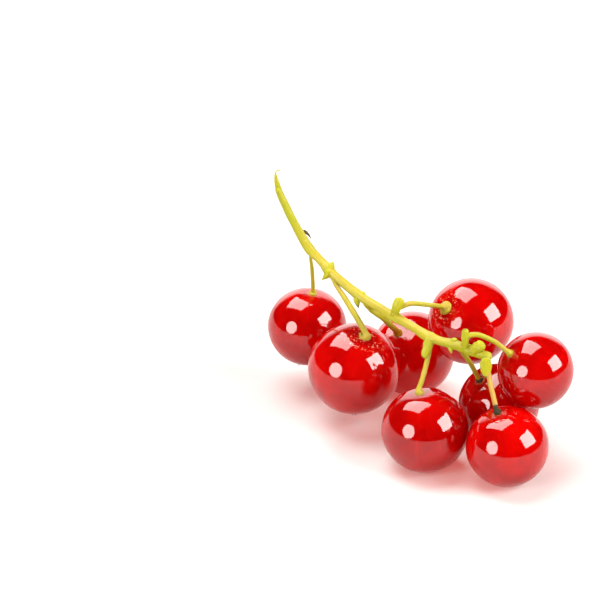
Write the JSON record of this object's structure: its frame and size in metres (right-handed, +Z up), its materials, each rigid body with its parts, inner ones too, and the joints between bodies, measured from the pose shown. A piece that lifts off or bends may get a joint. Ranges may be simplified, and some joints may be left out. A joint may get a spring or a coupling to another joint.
{
  "type": "sprig of redcurrants",
  "caption": "A sprig of glossy red berries on short stalks along a curved yellow-green stem, lying on a surface as picked.",
  "frame": {"origin": "on the surface that the sprig lies on, at the bottom centre of its bounding box", "axes": "+Z is up from that surface. +X runs from the stem's torn upper end, at the left, towards its tip, at the right. +Y is away from the viewer, so the stem's tip lies nearer than its torn end."},
  "size_m": [0.0382, 0.0372, 0.032],
  "materials": {
    "stem": "satin",
    "pedicel": "satin",
    "bract": "satin",
    "berry": "gloss",
    "dried_flower": "matte"
  },
  "bodies": {
    "root": {"stem": "stem", "berry_1": "berry", "pedicel_1": "pedicel", "calyx_1": "dried_flower", "berry_2": "berry", "pedicel_2": "pedicel", "calyx_2": "dried_flower", "berry_3": "berry", "pedicel_3": "pedicel", "calyx_3": "dried_flower", "berry_4": "berry", "pedicel_4": "pedicel", "calyx_4": "dried_flower", "berry_5": "berry", "pedicel_5": "pedicel", "calyx_5": "dried_flower", "berry_6": "berry", "pedicel_6": "pedicel", "calyx_6": "dried_flower", "berry_7": "berry", "pedicel_7": "pedicel", "calyx_7": "dried_flower", "berry_8": "berry", "pedicel_8": "pedicel", "calyx_8": "dried_flower", "bract_1": "bract", "bract_2_upper": "bract", "bract_2_lower": "bract", "bract_3": "bract", "bud_3": "bract", "bract_4": "bract", "bract_5": "bract", "bract_6_upper": "bract", "bract_6_lower": "bract", "bract_7": "bract", "bud_7": "bract", "bract_8": "bract"}
  },
  "joints": []
}
